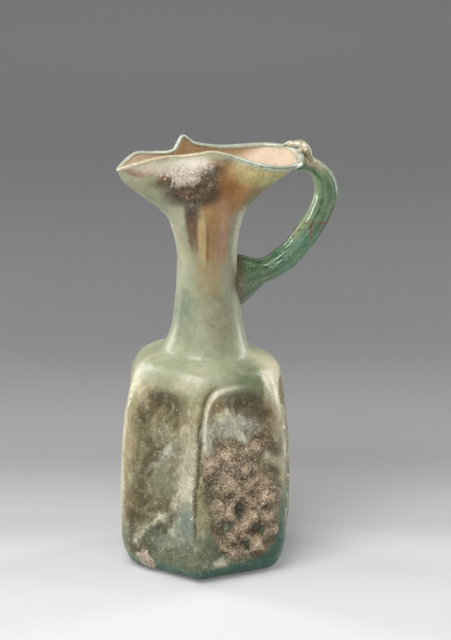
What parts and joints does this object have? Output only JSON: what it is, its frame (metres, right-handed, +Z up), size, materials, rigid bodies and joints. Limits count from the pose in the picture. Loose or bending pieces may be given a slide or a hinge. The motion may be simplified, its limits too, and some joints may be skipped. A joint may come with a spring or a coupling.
{
  "type": "glass_jug",
  "caption": "Six-sided mould-blown glass jug with a pinched pouring mouth, a strap handle and burial soil on the glass",
  "frame": {"origin": "Middle of the flat base, on the jug's axis, at the level it stands on", "axes": "+Z up along the jug's axis; +X from the axis to the handle, so the spout is at -X; +Y is the side away from the viewer in the picture"},
  "size_m": [0.0994, 0.0808, 0.1909],
  "materials": {
    "body_glass": "weathered, milky and partly iridescent",
    "lip_glass": "smooth fire-rounded lip with a light bloom",
    "handle_glass": "clear green with a thin bloom",
    "soil": "dry sandy crust"
  },
  "bodies": {
    "root": {"vessel": "body_glass", "rim_coil": "lip_glass", "handle": "handle_glass", "thumb_rest": "handle_glass", "soil_on_lattice_panel": "soil", "soil_on_mouth": "soil", "soil_on_heel": "soil"}
  },
  "joints": []
}
